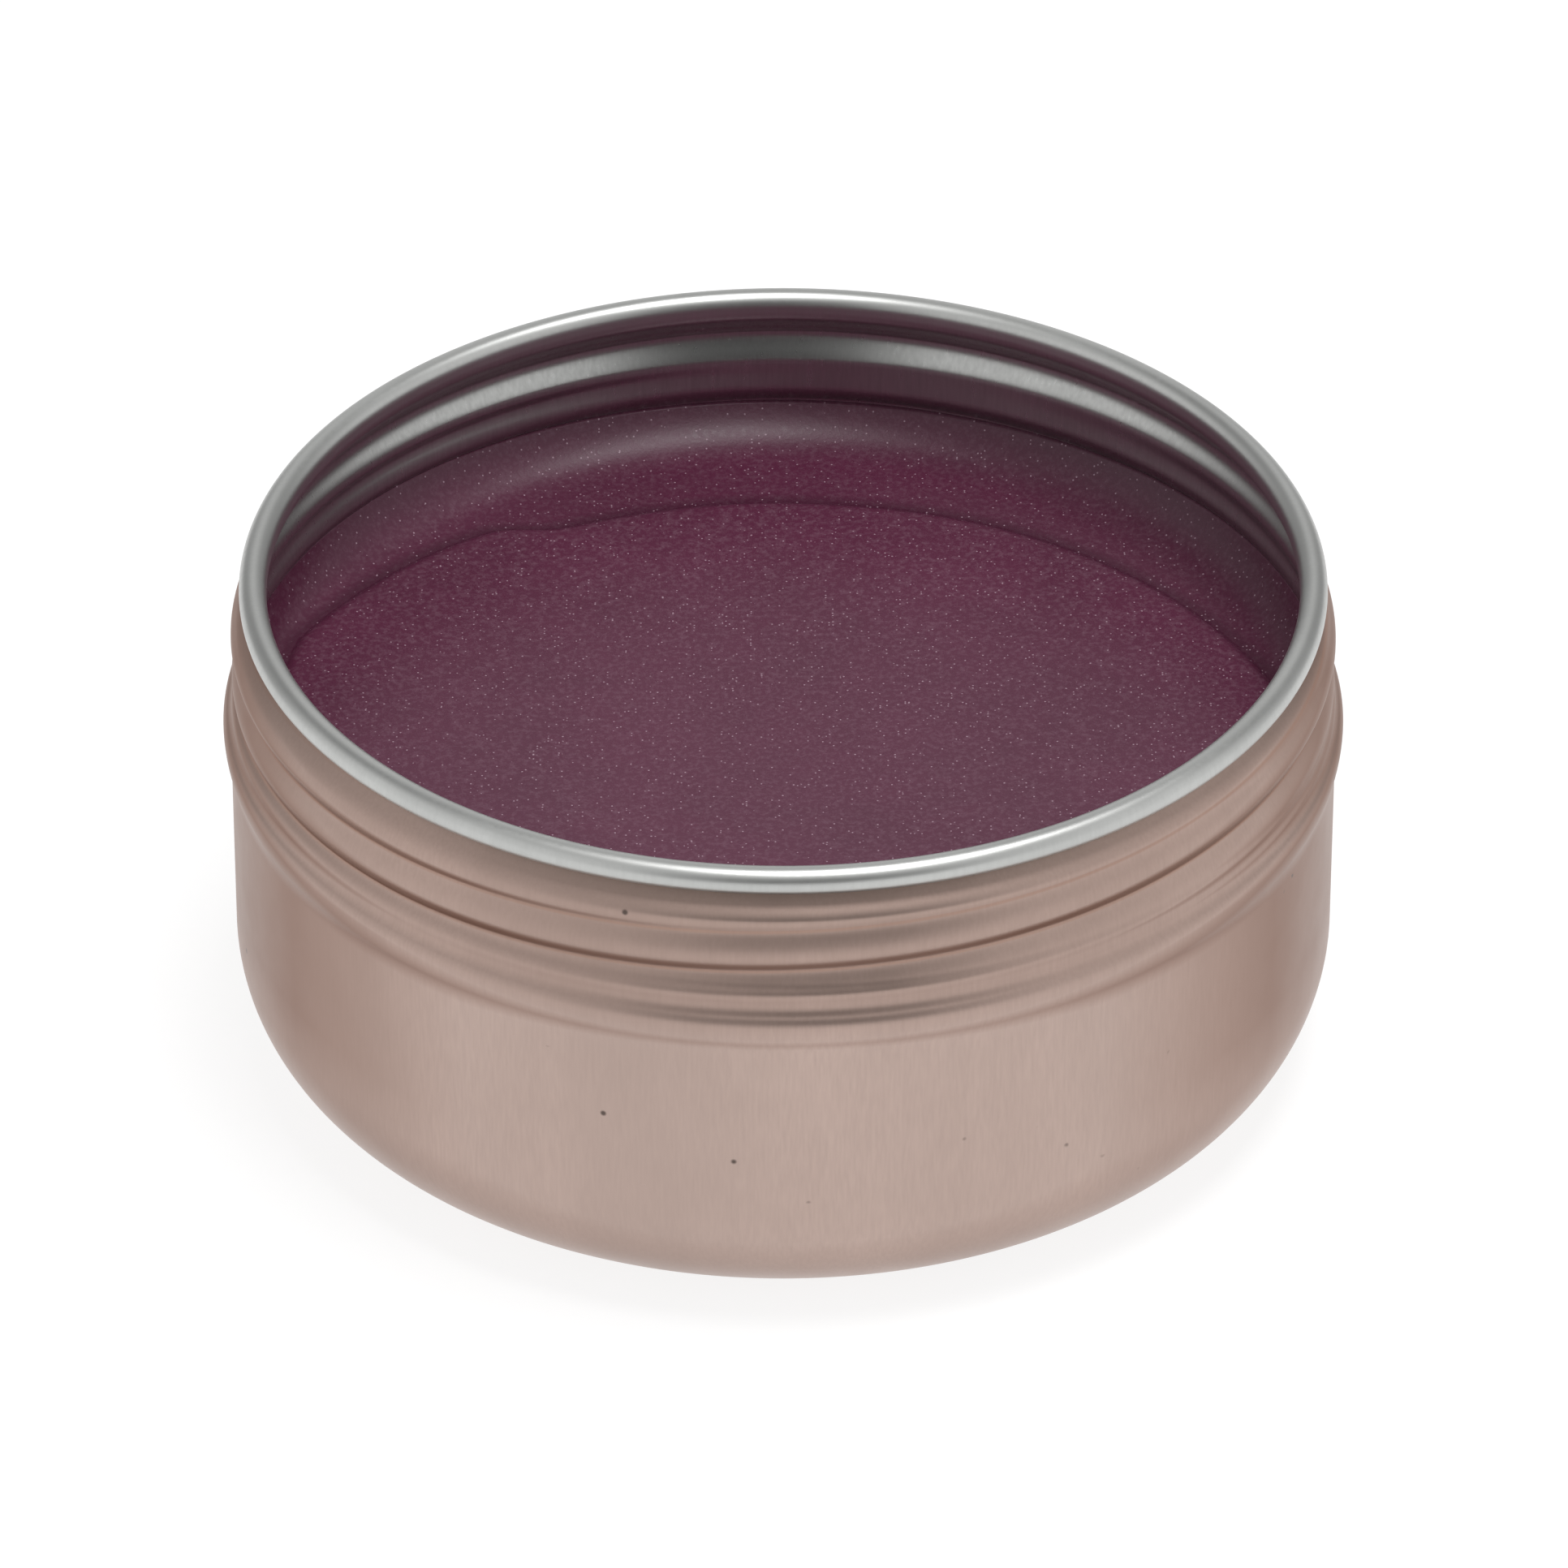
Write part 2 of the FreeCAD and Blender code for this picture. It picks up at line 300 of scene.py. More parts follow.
def lower_wall(form, inward, count, wall_count):
    """Section from the base's centre out and up to the neck's foot, moved into the sheet by inward."""
    s = form.s
    parts = [(np.linspace(0, form.panel, 6), np.full(6, s.panel_rise + inward))]
    step = level_step((form.stand_in, 0), (form.panel, s.panel_rise), inward, 6)
    parts.append((step[0][::-1][1:], step[1][::-1][1:]))
    parts.append((np.array([form.stand_out]), np.array([inward])))
    corner = round_part((form.stand_out, s.base_radius), s.base_radius - inward, -90, 0, 2 * count)
    parts.append((corner[0][1:], corner[1][1:]))
    wall_z = np.linspace(s.base_radius, form.wall_top, wall_count)[1:]
    parts.append((np.full(len(wall_z), form.wall - inward), wall_z))
    low = upright_step((s.bead_radius, form.bead_z), (form.wall, form.wall_top), inward, count)
    parts.append((low[0][::-1][1:], low[1][::-1][1:]))
    high = upright_step((form.foot, form.foot_z), (s.bead_radius, form.bead_z), inward, count)
    parts.append((high[0][::-1][1:], high[1][::-1][1:]))
    return np.concatenate([p[0] for p in parts]), np.concatenate([p[1] for p in parts])


def tin_rows(form, theta):
    """The cup's section at every angle: rows of radii and heights, and each row's material slot.

    They run from the base's centre up the outside, round the curl and down the inside to the centre of
    the floor. The anodised outside ends where the curl begins.
    """
    s = form.s
    around = np.ones_like(theta)[None, :]
    rows = []

    def add(r, z, slot):
        rows.append((np.atleast_1d(r)[:, None] * around, np.atleast_1d(z)[:, None] * around, slot))

    add(*lower_wall(form, 0, CORNER_ROWS, 12), ROSE_GOLD_SLOT)
    neck_z = np.linspace(form.foot_z, form.shoulder_top, NECK_ROWS)[1:]
    r, z = form.neck_wall(theta[None, :], neck_z[:, None] * around, 0)
    rows.append((r, z, ROSE_GOLD_SLOT))
    tip = 180 - math.degrees(s.curl_turn)
    mouth_z = np.linspace(form.shoulder_top, form.curl_centre[1], 4)[1:]
    add(np.full(3, form.mouth_out), mouth_z, ROSE_GOLD_SLOT)
    hollow = round_part(form.curl_centre, form.curl_r - s.sheet, 180, tip, 18)
    add(hollow[0][1:], hollow[1][1:], BARE_SLOT)
    curl = round_part(form.curl_centre, form.curl_r, tip, 180, 34)
    add(curl[0], curl[1], BARE_SLOT)
    add(np.full(3, form.mouth_out - s.sheet), mouth_z[::-1] - (mouth_z[1] - mouth_z[0]), BARE_SLOT)
    r, z = form.neck_wall(theta[None, :], neck_z[::-1][1:, None] * around, s.sheet)
    rows.append((r, z, BARE_SLOT))
    r, z = lower_wall(form, s.sheet, INSIDE_ROWS, 4)
    add(r[::-1], z[::-1], BARE_SLOT)
    return rows


def grid_mesh(name, r, z, theta, row_slots, layer_name, along):
    """A closed mesh from rows of radii and heights round the axis.

    The point in row i and column j is (r*cos t, r*sin t, z). The first and last rows shrink to one
    point each, on the axis. Faces look outwards when the rows run from the base out, up and back in.
    The named UV layer holds the share of a turn in u and the values of along in v, one column more
    than the mesh so that it closes.
    """
    rows, columns = r.shape
    x = r[1:-1] * np.cos(theta)
    y = r[1:-1] * np.sin(theta)
    points = np.stack([x, y, z[1:-1]], axis=-1).reshape(-1, 3)
    poles = np.array([[0, 0, z[0, 0]], [0, 0, z[-1, 0]]])
    points = np.concatenate([points, poles])
    start_pole = len(points) - 2
    end_pole = len(points) - 1
    i = np.arange(rows - 3)[:, None]
    j = np.arange(columns)[None, :]
    k = (j + 1) % columns
    near = i * columns
    far = near + columns
    quads = np.stack([near + j, near + k, far + k, far + j], axis=-1).reshape(-1, 4)
    j = np.arange(columns)
    k = (j + 1) % columns
    last = (rows - 3) * columns
    first_fan = np.stack([np.full(columns, start_pole), k, j], axis=-1)
    last_fan = np.stack([last + j, last + k, np.full(columns, end_pole)], axis=-1)
    loops = np.concatenate([quads.ravel(), first_fan.ravel(), last_fan.ravel()])
    sizes = np.concatenate([np.full(len(quads), 4), np.full(2 * columns, 3)])
    starts = np.concatenate([[0], np.cumsum(sizes)[:-1]])
    mesh = bpy.data.meshes.new(name)
    mesh.vertices.add(len(points))
    mesh.vertices.foreach_set("co", points.ravel())
    mesh.loops.add(len(loops))
    mesh.loops.foreach_set("vertex_index", loops)
    mesh.polygons.add(len(sizes))
    mesh.polygons.foreach_set("loop_start", starts)
    slots = np.concatenate([
        np.repeat(row_slots[1:-2], columns), np.full(columns, row_slots[0]), np.full(columns, row_slots[-1])
    ])
    mesh.polygons.foreach_set("material_index", slots.astype(np.int32))
    mesh.update(calc_edges=True)
    mesh.polygons.foreach_set("use_smooth", np.ones(len(sizes), dtype=bool))
    u = np.broadcast_to(np.arange(columns + 1) / columns, (rows - 2, columns + 1))
    v = along[1:-1]
    a = np.arange(rows - 3)[:, None] + np.zeros((1, columns), dtype=int)
    b = np.zeros((rows - 3, 1), dtype=int) + np.arange(columns)[None, :]
    corners = [(a, b), (a, b + 1), (a + 1, b + 1), (a + 1, b)]
    quad_uv = np.stack([np.stack([u[c], v[c]], axis=-1) for c in corners], axis=2).reshape(-1, 2)
    fan_uv = np.zeros((6 * columns, 2))
    fan_uv[:, 1] = along[-1, 0]
    layer = mesh.uv_layers.new(name=layer_name)
    layer.uv.foreach_set("vector", np.concatenate([quad_uv, fan_uv]).ravel())
    mesh.validate()
    piece = bpy.data.objects.new(name, mesh)
    bpy.context.collection.objects.link(piece)
    return piece


# ---------------------------------------------------------------- finishes

# Properties that several nodes share, and the sockets of a Mix node set to colours.
TIMES = {"operation": "MULTIPLY"}
PLUS = {"operation": "ADD"}
MINUS = {"operation": "SUBTRACT"}
SIZE_OF = {"operation": "ABSOLUTE"}
COLOURS = {"data_type": "RGBA"}
SHARE, FIRST, SECOND, BLEND = 0, 6, 7, 2


def add_node(tree, kind, settings, inputs, output=0):
    """Add a shader node with its own properties, set or link its inputs, and give one of its outputs."""
    node = tree.nodes.new("ShaderNode" + kind)
    for name, value in settings.items():
        setattr(node, name, value)
    for socket, value in inputs.items():
        if isinstance(value, bpy.types.NodeSocket):
            tree.links.new(value, node.inputs[socket])
        else:
            node.inputs[socket].default_value = value
    return node.outputs[output] if node.outputs else None


def new_material(name):
    """An empty node material, and add_node for its tree."""
    material = bpy.data.materials.new(name)
    material.use_nodes = True
    material.node_tree.nodes.clear()
    return material, partial(add_node, material.node_tree)


def dyed(rgb, *factors):
    """A colour times one factor, or times one for each of red, green and blue."""
    factors = factors * (3 // len(factors))
    return (*(min(1.0, c * k) for c, k in zip(rgb, factors)), 1.0)


def rose_gold_material(finishes, form):
    """Rose-gold anodised aluminium, drawn and satin finished.

    Drawing leaves fine upright lines and small pits, and anodising keeps the metal's own reflection,
    only tinted and softened. So it is all metal, with the lines and pits in colour and bump. Painted shade
    darkens it where it is seen slanting, for the shadowed floor that its sides reflect, and in thin lines
    at the thread's root; all over the rolled neck its tone is deeper and warmer.
    """
    material, node = new_material("rose_gold_anodised_aluminium_drawn_satin")
    tint = finishes.rose_gold
    where = node("TexCoord", {}, {}, "Object")
    height = node("SeparateXYZ", {}, {0: where}, "Z")

    # Drawing lines are about 0.05 mm apart in truth, and are drawn at 0.24 mm so that they show.
    along = node("Mapping", {}, {"Vector": where, "Scale": (1, 1, 0.12)})
    fine = {"Detail": 2, "Roughness": 0.55}
    lines = node("TexNoise", {}, {"Vector": along, "Scale": 1 / (0.2381 * MM), **fine})
    grit = node("TexNoise", {}, {"Vector": where, "Scale": 1 / (0.2632 * MM), **fine})
    mottle = node("TexNoise", {}, {"Vector": where, "Scale": 1 / (6.25 * MM), "Detail": 4, "Roughness": 0.6})

    # Clouds about 17 mm across, where the dye took a little more or less.
    tall = node("Mapping", {}, {"Vector": where, "Scale": (1, 1, 0.3)})
    cloud = node("TexNoise", {}, {"Vector": tall, "Scale": 1 / (16.67 * MM), "Detail": 3, "Roughness": 0.55})
    cloud = node("MapRange", {}, {"Value": cloud, "From Min": 0.35, "From Max": 0.65})
    base = node("Mix", COLOURS, {SHARE: cloud, FIRST: dyed(tint, 0.94), SECOND: dyed(tint, 1.07)}, BLEND)
    drawn = node("MapRange", {}, {"Value": lines, "From Min": 0.3, "From Max": 0.75, "To Max": 0.4})
    base = node("Mix", COLOURS, {SHARE: drawn, FIRST: base, SECOND: dyed(tint, 0.82)}, BLEND)

    # Painted shade where the surface is seen slanting, standing for the shadowed floor that the sides
    # reflect, but not under the base's corner; and a deeper, warmer tone by a quarter all over the neck.
    slant_shade = node("LayerWeight", {}, {"Blend": 0.5}, "Facing")
    slant_shade = node("MapRange", {}, {"Value": slant_shade, "From Min": 0.34, "From Max": 0.64})
    wall_foot = form.s.base_radius + 3.6 * MM
    above_base = node("MapRange", {}, {"Value": height, "From Min": 2 * MM, "From Max": wall_foot})
    slant_shade = node("Math", TIMES, {0: slant_shade, 1: above_base})
    neck_low = form.bead_z - 1.5 * MM
    neck = node("MapRange", {}, {"Value": height, "From Min": neck_low, "From Max": neck_low + 2.5 * MM})
    neck_share = node("Math", TIMES, {0: neck, 1: 0.26})
    # The deeper colour carries both the painted slant shade and the neck's deeper tone.
    deeper = node("Math", {"operation": "MAXIMUM"}, {0: slant_shade, 1: neck_share})
    deep_tone_and_slant_shade = dyed(tint, 0.56, 0.44, 0.38)
    base = node("Mix", COLOURS, {SHARE: deeper, FIRST: base, SECOND: deep_tone_and_slant_shade}, BLEND)

    # A few dark pits about 0.4 mm across, kept to the rare spots where a second noise is high.
    pits = node("TexVoronoi", {}, {"Vector": where, "Scale": 1 / (2.381 * MM)}, "Distance")
    pits = node("MapRange", {}, {"Value": pits, "From Min": 0.05, "From Max": 0.11, "To Min": 1, "To Max": 0})
    rare = node("TexNoise", {}, {"Vector": where, "Scale": 1 / (3.846 * MM), "Detail": 1, "Roughness": 0.55})
    rare = node("MapRange", {}, {"Value": rare, "From Min": 0.62, "From Max": 0.66})
    pits = node("Math", TIMES, {0: pits, 1: rare})
    base = node("Mix", COLOURS, {SHARE: pits, FIRST: base, SECOND: dyed(tint, 0.25)}, BLEND)

    # Painted shade: thin darker lines in the fold where the thread's count of turns is whole, which is at its
    # root, on the neck only.
    turn = node("UVMap", {"uv_map": "thread"}, {})
    turn = node("SeparateXYZ", {}, {0: turn}, "Y")
    whole = node("Math", {"operation": "ROUND"}, {0: turn})
    off = node("Math", MINUS, {0: turn, 1: whole})
    off = node("Math", SIZE_OF, {0: off})
    fold = node("MapRange", {}, {"Value": off, "From Min": 0.02, "From Max": 0.06, "To Min": 1, "To Max": 0})
    foot = form.foot_z + 0.4 * MM
    over_foot = node("MapRange", {}, {"Value": height, "From Min": foot, "From Max": foot + 1 * MM})
    top = form.shoulder_foot + 0.35 * MM
    top_range = {"From Min": top, "From Max": top + 1.4 * MM, "To Min": 1, "To Max": 0}
    under_top = node("MapRange", {}, {"Value": height, **top_range})
    on_neck = node("Math", TIMES, {0: over_foot, 1: under_top})
    fold = node("Math", TIMES, {0: fold, 1: on_neck})
    fold = node("Math", TIMES, {0: fold, 1: 0.28})
    base = node("Mix", COLOURS, {SHARE: fold, FIRST: base, SECOND: dyed(finishes.fold, 1.0)}, BLEND)

    # Satin, and a little rougher where the neck was rolled.
    rough_range = {"From Min": 0.3, "From Max": 0.7, "To Min": 0.34, "To Max": 0.40}
    rough = node("MapRange", {}, {"Value": mottle, **rough_range})
    rolled = node("Math", TIMES, {0: neck, 1: 0.08})
    rough = node("Math", PLUS, {0: rough, 1: rolled})
    line_relief = node("Math", TIMES, {0: lines, 1: 0.6})
    grit_relief = node("Math", TIMES, {0: grit, 1: 0.4})
    relief = node("Math", PLUS, {0: line_relief, 1: grit_relief})
    bump = node("Bump", {}, {"Strength": 0.05, "Distance": 0.06 * MM, "Height": relief})
    metal = {"Metallic": 1, "Base Color": base, "Roughness": rough, "Normal": bump}
    shader = node("BsdfPrincipled", {}, metal)
    node("OutputMaterial", {}, {"Surface": shader})
    return material


def bare_material(finishes, form):
    """Bare drawn aluminium, wiped but not polished.

    The blank's own surface: grey, satin, with fine rubbed lines across the curl and up the neck. The
    real lines are about 0.05 mm apart, and are drawn at 0.28 mm so that they show.
    """
    material, node = new_material("bare_aluminium_drawn_wiped")
    tint = finishes.bare
    where = node("TexCoord", {}, {}, "Object")
    along = node("Mapping", {}, {"Vector": where, "Scale": (1, 1, 0.08)})
    soft = {"Detail": 3, "Roughness": 0.55}
    lines = node("TexNoise", {}, {"Vector": along, "Scale": 1 / (0.2778 * MM), **soft})
    cloud = node("TexNoise", {}, {"Vector": where, "Scale": 1 / (11.11 * MM), **soft})
    cloud = node("MapRange", {}, {"Value": cloud, "From Min": 0.35, "From Max": 0.65})
    base = node("Mix", COLOURS, {SHARE: cloud, FIRST: dyed(tint, 0.93), SECOND: dyed(tint, 1.03)}, BLEND)

    # Rubbed more inside than on the curl, which is a little rougher.
    height = node("SeparateXYZ", {}, {0: where}, "Z")
    curl_foot = form.shoulder_top - 0.75 * MM
    on_curl = node("MapRange", {}, {"Value": height, "From Min": curl_foot, "From Max": curl_foot + 0.8 * MM})
    rubbed = node("MapRange", {}, {"Value": on_curl, "To Min": 0.4, "To Max": 0.12})
    streaks = node("MapRange", {}, {"Value": lines, "From Min": 0.35, "From Max": 0.7})
    rubbed = node("Math", TIMES, {0: rubbed, 1: streaks})
    base = node("Mix", COLOURS, {SHARE: rubbed, FIRST: base, SECOND: dyed(tint, 0.7)}, BLEND)
    rough_range = {"From Min": 0.3, "From Max": 0.7, "To Min": 0.27, "To Max": 0.32}
    rough = node("MapRange", {}, {"Value": lines, **rough_range})
    curled = node("Math", TIMES, {0: on_curl, 1: 0.10})
    rough = node("Math", PLUS, {0: rough, 1: curled})
    bump = node("Bump", {}, {"Strength": 0.03, "Distance": 0.06 * MM, "Height": lines})
    metal = {"Metallic": 1, "Base Color": base, "Roughness": rough, "Normal": bump}
    shader = node("BsdfPrincipled", {}, metal)
    node("OutputMaterial", {}, {"Surface": shader})
    return material


def wax_material(finishes):
    """Wax polish with mica, poured hot and left to set.

    It set with a soft, slightly greasy gloss. The mica lies near the surface as flecks of about 0.1 mm,
    drawn a little larger than life so that they show, and gives the plum a pearly bloom. Painted shade
    darkens the crease round the sunken middle, and the climb outside it is a little darker.
    """
    material, node = new_material("plum_wax_with_mica_poured")
    plum = finishes.wax
    fleck = dyed(finishes.fleck, 1.0)
    where = node("TexCoord", {}, {}, "Object")
    cloud = node("TexNoise", {}, {"Vector": where, "Scale": 1 / (14.29 * MM), "Detail": 4, "Roughness": 0.6})
    patch = node("MapRange", {}, {"Value": cloud, "From Min": 0.35, "From Max": 0.65})
    base = node("Mix", COLOURS, {SHARE: patch, FIRST: dyed(plum, 0.92), SECOND: dyed(plum, 1.08)}, BLEND)
    grain = node("TexNoise", {}, {"Vector": where, "Scale": 1 / (0.3846 * MM), "Detail": 2, "Roughness": 0.7})
    bloom = node("MapRange", {}, {"Value": grain, "From Min": 0.45, "From Max": 0.8, "To Max": 0.12})
    base = node("Mix", COLOURS, {SHARE: bloom, FIRST: base, SECOND: fleck}, BLEND)

    # The layer holds the distance outside the crease, in millimetres.
    out = node("UVMap", {"uv_map": "crease"}, {})
    out = node("SeparateXYZ", {}, {0: out}, "Y")
    # The climb outside the crease is a little darker.
    climb = node("MapRange", {}, {"Value": out, "From Min": -0.6, "From Max": 0.4})
    climb = node("Math", TIMES, {0: climb, 1: 0.3})
    base = node("Mix", COLOURS, {SHARE: climb, FIRST: base, SECOND: dyed(plum, 0.8)}, BLEND)
    # Painted shade along the crease, darkest 0.3 mm outside it.
    off = node("Math", PLUS, {0: out, 1: -0.3})
    off = node("Math", SIZE_OF, {0: off})
    shade_range = {"From Min": 0.1, "From Max": 1.1, "To Min": 0.55, "To Max": 0}
    shade = node("MapRange", {}, {"Value": off, **shade_range})
    base = node("Mix", COLOURS, {SHARE: shade, FIRST: base, SECOND: dyed(plum, 0.45)}, BLEND)

    # One cell of 0.25 mm in seven holds a fleck.
    cells = {"Vector": where, "Scale": 1 / (0.25 * MM)}
    kind = node("SeparateColor", {}, {"Color": node("TexVoronoi", {}, cells, "Color")}, "Red")
    chosen = node("MapRange", {}, {"Value": kind, "From Min": 0.86, "From Max": 0.87})
    near = node("TexVoronoi", {}, cells, "Distance")
    near = node("MapRange", {}, {"Value": near, "From Min": 0.18, "From Max": 0.30, "To Min": 1, "To Max": 0})
    flecks = node("Math", TIMES, {0: chosen, 1: near})
    flecks = node("Math", TIMES, {0: flecks, 1: 0.6})
    base = node("Mix", COLOURS, {SHARE: flecks, FIRST: base, SECOND: fleck}, BLEND)

    rough_range = {"From Min": 0.3, "From Max": 0.7, "To Min": 0.36, "To Max": 0.48}
    rough = node("MapRange", {}, {"Value": grain, **rough_range})
    cloud_relief = node("Math", TIMES, {0: cloud, 1: 3.0})
    relief = node("Math", PLUS, {0: cloud_relief, 1: grain})
    bump = node("Bump", {}, {"Strength": 0.35, "Distance": 0.05 * MM, "Height": relief})
    gloss = {"IOR": 1.44, "Specular IOR Level": 0.42, "Coat Weight": 0.12, "Coat Roughness": 0.32}
    shader = node("BsdfPrincipled", {}, {**gloss, "Base Color": base, "Roughness": rough, "Normal": bump})
    node("OutputMaterial", {}, {"Surface": shader})
    return material


def floor_material(finishes):
    """Opal acrylic of a light table, matt and lit evenly from below, so that shadows on it stay faint."""
    material, node = new_material("opal_acrylic_light_table")
    white = finishes.floor
    where = node("TexCoord", {}, {}, "Object")
    tooth = node("TexNoise", {}, {"Vector": where, "Scale": 1 / (1.111 * MM), "Detail": 2, "Roughness": 0.55})
    base = node("Mix", COLOURS, {SHARE: tooth, FIRST: dyed(white, 0.22), SECOND: dyed(white, 0.24)}, BLEND)
    glow = {"Emission Color": dyed(white, 1.0), "Emission Strength": 0.92}
    shader = node("BsdfPrincipled", {}, {**glow, "Roughness": 0.9, "Base Color": base})
    node("OutputMaterial", {}, {"Surface": shader})
    return material


# ---------------------------------------------------------------- pieces


class TIN_OT_cup(bpy.types.Operator):
    """Make the drawn cup: base, wall, bead, threaded neck and curled rim, in one closed sheet"""

    bl_idname = "polish_tin.cup"
    bl_label = "Make cup"

    def execute(self, context):
        form = TinForm(context.scene.tin_sizes)
        theta = angles()
        rows = tin_rows(form, theta)
        r = np.concatenate([row[0] for row in rows])
        z = np.concatenate([row[1] for row in rows])
        slots = np.concatenate([np.full(len(row[0]), row[2]) for row in rows])
        closed = np.append(theta, 2 * math.pi)
        turns = form.turns(closed[None, :], np.concatenate([z, z[:, :1]], axis=1))
        cup = grid_mesh("cup", r, z, theta, slots, "thread", turns)
        cup.data.materials.append(rose_gold_material(context.scene.tin_finishes, form))
        cup.data.materials.append(bare_material(context.scene.tin_finishes, form))
        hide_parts("tin_body")
        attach(cup, "root")
        return {"FINISHED"}


FLARE_ANGLE = math.radians(78)      # from the back to where the crease has run out by its whole flare
FLARE_END = math.radians(95)        # from the back to where it stops running out
NOTCH_SPREAD = math.radians(1.6)    # how sharp the jump is
NOTCH_GONE = math.radians(290)      # where the jump has faded again, in front
NOTCH_FADE = math.radians(90)       # the angle over which it fades
CREASE_LIMIT = 35.5 * MM            # the crease's largest radius, just inside the wall


def crease_radius(theta, sizes):
    """Where the sunken middle of the wax ends.

    Its radius at the back, plus a square of the angle from the back so that it runs out to the wall at
    the sides, plus a short jump outwards at the notch.
    """
    from_back = np.abs((theta - math.pi / 2 + math.pi) % (2 * math.pi) - math.pi)
    flare = sizes.crease_flare * (np.minimum(from_back, FLARE_END) / FLARE_ANGLE) ** 2
    notch = sizes.notch / (1 + np.exp(-(theta - sizes.notch_angle) / NOTCH_SPREAD))
    notch = notch * ease((NOTCH_GONE - theta) / NOTCH_FADE)
    return np.minimum(sizes.crease_radius + flare + notch, CREASE_LIMIT)


EDGE_LIFT = 0.15 * MM       # the mean height of the wax's edge over its nominal line
EDGE_WAVE = 0.18 * MM       # its unevenness, twice round
EDGE_RIPPLE = 0.08 * MM     # and three times round
STEP_WIDTH = 0.45 * MM      # how soon the middle's edge rises from the crease
LIP = 0.04 * MM             # a faint raised line just inside the crease
LIP_PLACE = 1.1 * MM
LIP_WIDTH = 0.6 * MM
DISH = 0.25 * MM            # how far the middle is dished
DISH_RADIUS = 30 * MM
CALM_RADIUS = 26 * MM       # the slow waves fade from here outwards
CALM_WIDTH = 10 * MM
SWELL = 0.035 * MM          # height of the slow waves
SWELL_X = 5.1 * MM
SWELL_Y = 6.3 * MM
RIPPLE = 0.02 * MM          # height of the shorter waves across them
RIPPLE_X = 2.3 * MM
RIPPLE_Y = 3.1 * MM
DIMPLE_X = 3.4 * MM
DIMPLE_Y = 2.6 * MM
DIMPLE_RADIUS = 1.1 * MM


def wax_surface(x, y, r, wax):
    """Depth and waves of the middle: a parabolic dish, two products of sines that fade, and the dimple."""
    calm = 1 - ease((r - CALM_RADIUS) / CALM_WIDTH)
    z = -DISH * (1 - (np.minimum(r / DISH_RADIUS, 1)) ** 2)
    z = z + SWELL * calm * (np.sin(x / SWELL_X + 1.0) * np.sin(y / SWELL_Y))
    z = z + RIPPLE * np.sin(x / RIPPLE_X + y / RIPPLE_Y) * calm
    away = ((x - DIMPLE_X) ** 2 + (y - DIMPLE_Y) ** 2) / DIMPLE_RADIUS ** 2
    return z - wax.dimple * np.exp(-away)


def wax_rows(form, wax, theta):
    """Rows of the wax cake: floor centre, out and up the cup's inside, then the top back to its centre.

    The top is level inside the crease, apart from wax_surface. Its edge falls to the crease as an
    exponential. Near the wall the wax climbs as the 2.6th power of the share of the way there.
    """
    s = form.s
    around = np.ones_like(theta)[None, :]
    high = s.height - wax.edge_drop
    back = 0.5 + 0.5 * np.cos(theta - math.pi / 2)
    edge_z = high + EDGE_LIFT + EDGE_WAVE * np.cos(2 * theta) + EDGE_RIPPLE * np.sin(3 * theta + 1)
    edge_r = form.cup_radius(theta, edge_z)
    middle_z = high - wax.climb
    crease = crease_radius(theta, wax)
    share_out = np.linspace(1, 0, 44)[:, None] ** 0.8
    r_out = crease + (edge_r - crease) * share_out
    strength = ease(back * 1.8 - 0.25)
    crease_z = middle_z + wax.step * (1 - strength)
    reach = np.minimum(wax.reach * (0.9 + 0.15 * np.cos(theta - 2.1)), 0.95 * (edge_r - crease))
    z_out = crease_z + (edge_z - crease_z) * np.maximum(1 - (edge_r - r_out) / reach, 0) ** 2.6
    share_in = np.concatenate([1 - np.linspace(0, 0.35, 22)[1:] ** 1.5, np.linspace(0.79, 0, 24)])[:, None]
    r_in = crease * share_in
    inside = crease - r_in
    z_in = middle_z + wax.step * (1 - strength * np.exp(-inside / STEP_WIDTH))
    z_in = z_in + LIP * strength * np.exp(-((inside - LIP_PLACE) / LIP_WIDTH) ** 2)
    r_top = np.concatenate([r_out, r_in])
    z_top = np.concatenate([z_out, z_in])
    z_top = z_top + wax_surface(r_top * np.cos(theta), r_top * np.sin(theta), r_top, wax)
    floor_z = s.panel_rise + s.sheet
    bottom = [(np.linspace(0, form.panel, 4), np.full(4, floor_z))]
    step = level_step((form.stand_in, 0), (form.panel, s.panel_rise), s.sheet, 4)
    bottom.append((step[0][::-1][1:], step[1][::-1][1:]))
    bottom.append((np.array([form.stand_out]), np.array([s.sheet])))
    corner = round_part((form.stand_out, s.base_radius), s.base_radius - s.sheet, -90, 0, 10)
    bottom.append((corner[0][1:], corner[1][1:]))
    bottom.append((np.array([form.wall - s.sheet]), np.array([form.wall_top])))
    low = upright_step((s.bead_radius, form.bead_z), (form.wall, form.wall_top), s.sheet, 5)
    bottom.append((low[0][::-1][1:], low[1][::-1][1:]))
    r_low = np.concatenate([part[0] for part in bottom])[:, None] * around
    z_low = np.concatenate([part[1] for part in bottom])[:, None] * around
    side_share = np.linspace(0, 1, 10)[1:-1, None]
    z_side = form.bead_z + (edge_z - form.bead_z) * side_share
    r_side = form.cup_radius(theta[None, :], z_side)
    return np.concatenate([r_low, r_side, r_top]), np.concatenate([z_low, z_side, z_top])


